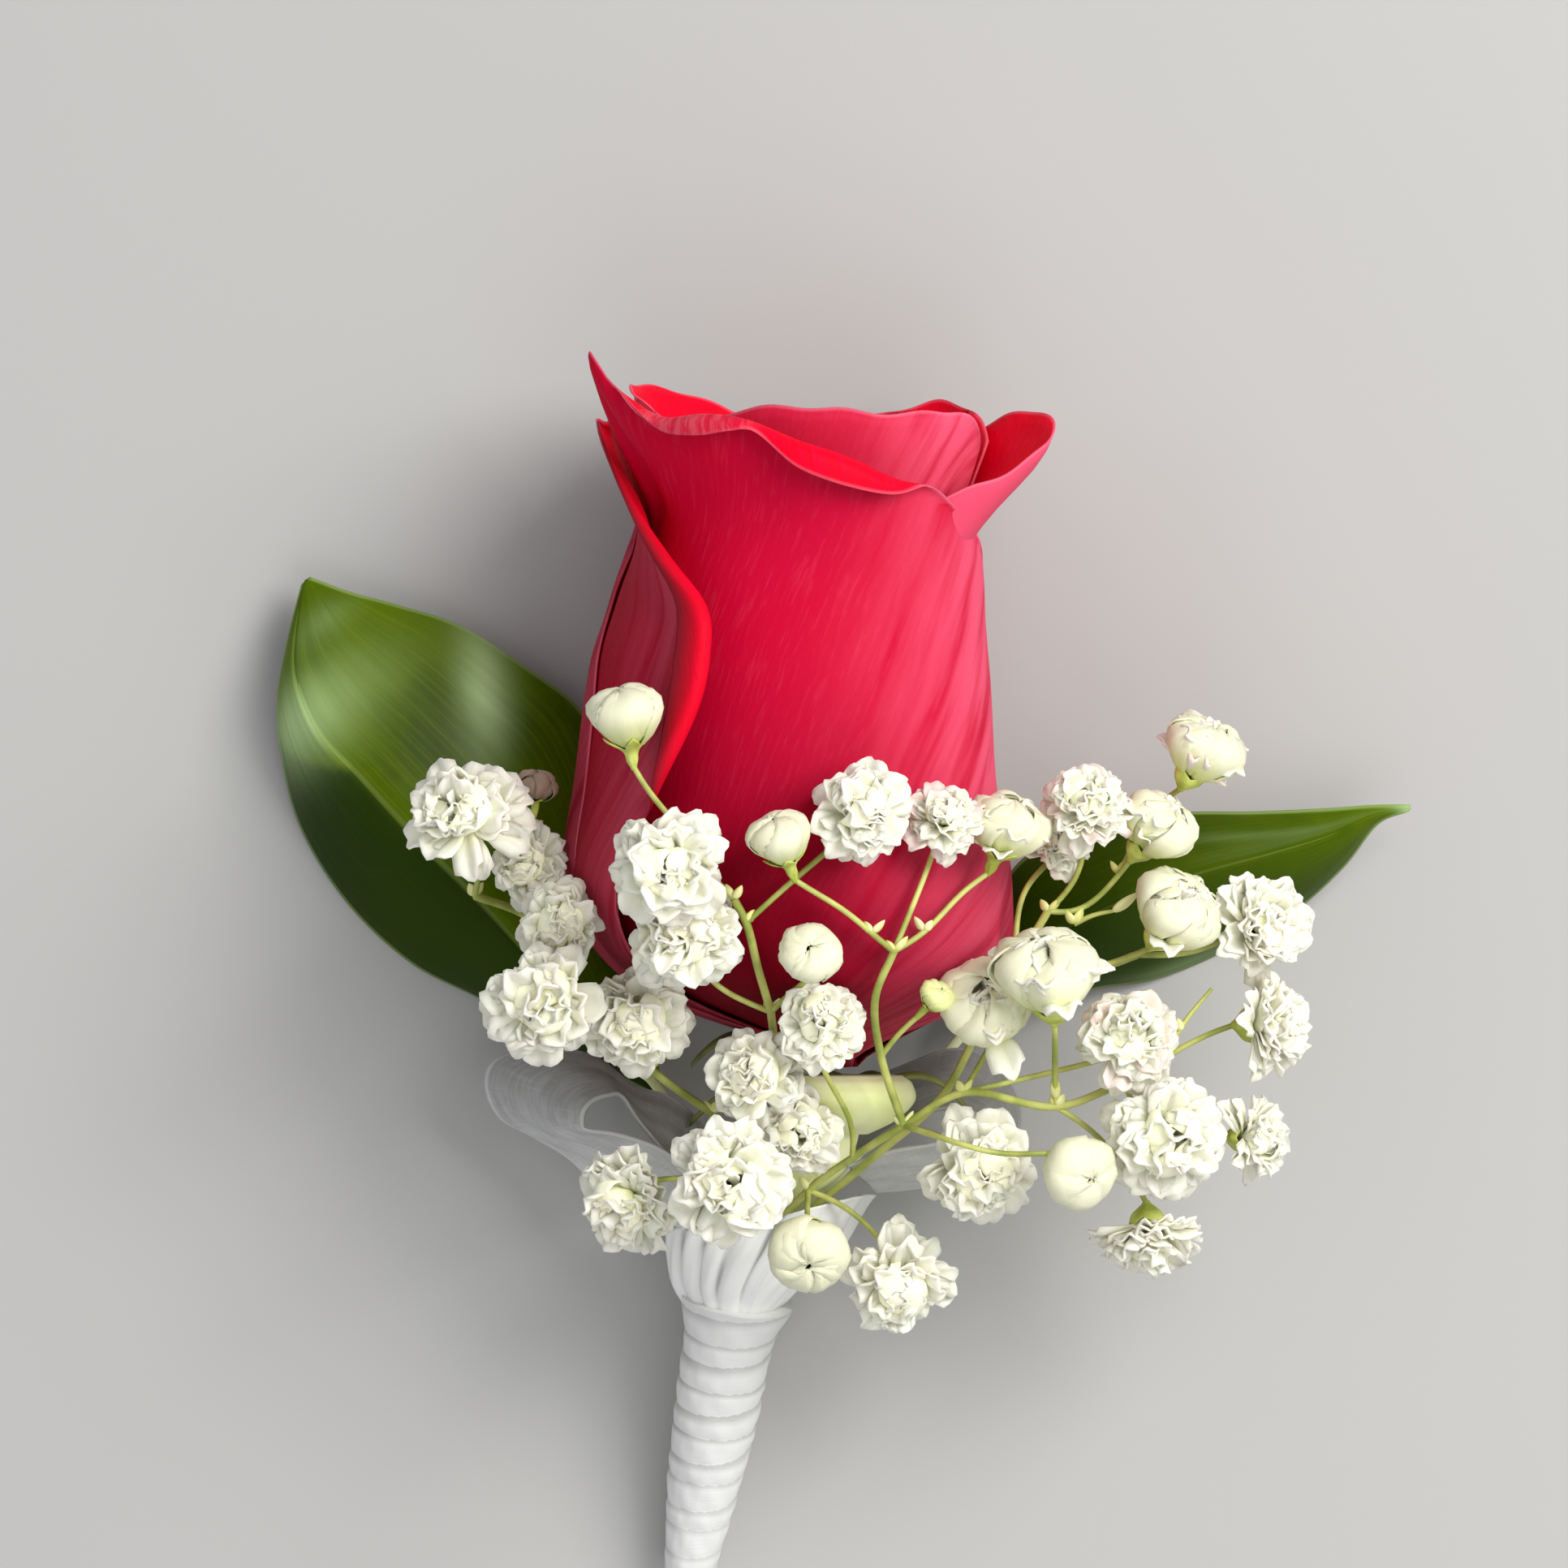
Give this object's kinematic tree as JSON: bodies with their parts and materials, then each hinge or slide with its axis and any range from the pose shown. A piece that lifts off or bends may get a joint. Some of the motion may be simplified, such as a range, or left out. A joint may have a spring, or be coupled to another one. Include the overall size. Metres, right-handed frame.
{
  "type": "boutonniere",
  "caption": "Boutonniere lying on its back: a red rose with glossy leaves and sprays of double baby's breath, its stems bound in silver ribbon with a small bow.",
  "frame": {"origin": "centre of the bounding box, at the surface that the boutonniere lies on", "axes": "+Y from the bound stems to the rose's open end, +Z from the surface to the viewer, +X to the right as seen from the front"},
  "size_m": [0.0894, 0.0964, 0.0427],
  "materials": {
    "rose_petal": "soft velvet sheen, satin on the rolled rims",
    "rose_green": "smooth matt plant tissue",
    "leaf": "glossy, waxy leaf",
    "spray_stem": "smooth matt plant stem",
    "flower": "matt, slightly see-through petals",
    "withered": "dry and matt",
    "ribbon": "sheer satin with a fine weave"
  },
  "bodies": {
    "root": {"rose_petals": "rose_petal", "rose_hip_and_stem": "rose_green", "leaf_left": "leaf", "leaf_right": "leaf", "spray_left_stems": "spray_stem", "spray_centre_stems": "spray_stem", "spray_right_stems": "spray_stem", "spray_upper_right_stems": "spray_stem", "withered_bud": "withered", "ribbon_wrap": "ribbon", "ribbon_gather": "ribbon", "ribbon_loop_left": "ribbon", "ribbon_loop_right": "ribbon", "head_01": "flower", "head_02": "flower", "head_03": "flower", "head_04": "flower", "head_05": "flower", "head_06": "flower", "head_07": "flower", "head_08": "flower", "head_09": "flower", "head_10": "flower", "head_11": "flower", "head_12": "flower", "head_13": "flower", "head_14": "flower", "head_15": "flower", "head_16": "flower", "head_17": "flower", "head_18": "flower", "head_19": "flower", "head_20": "flower", "head_21": "flower", "head_22": "flower", "head_23": "flower", "head_24": "flower", "head_25": "flower", "head_26": "flower", "head_27": "flower", "head_28": "flower", "head_29": "flower", "head_30": "flower", "head_31": "flower", "head_32": "flower", "head_33": "flower", "head_34": "flower", "head_35": "flower", "head_36": "flower"}
  },
  "joints": []
}
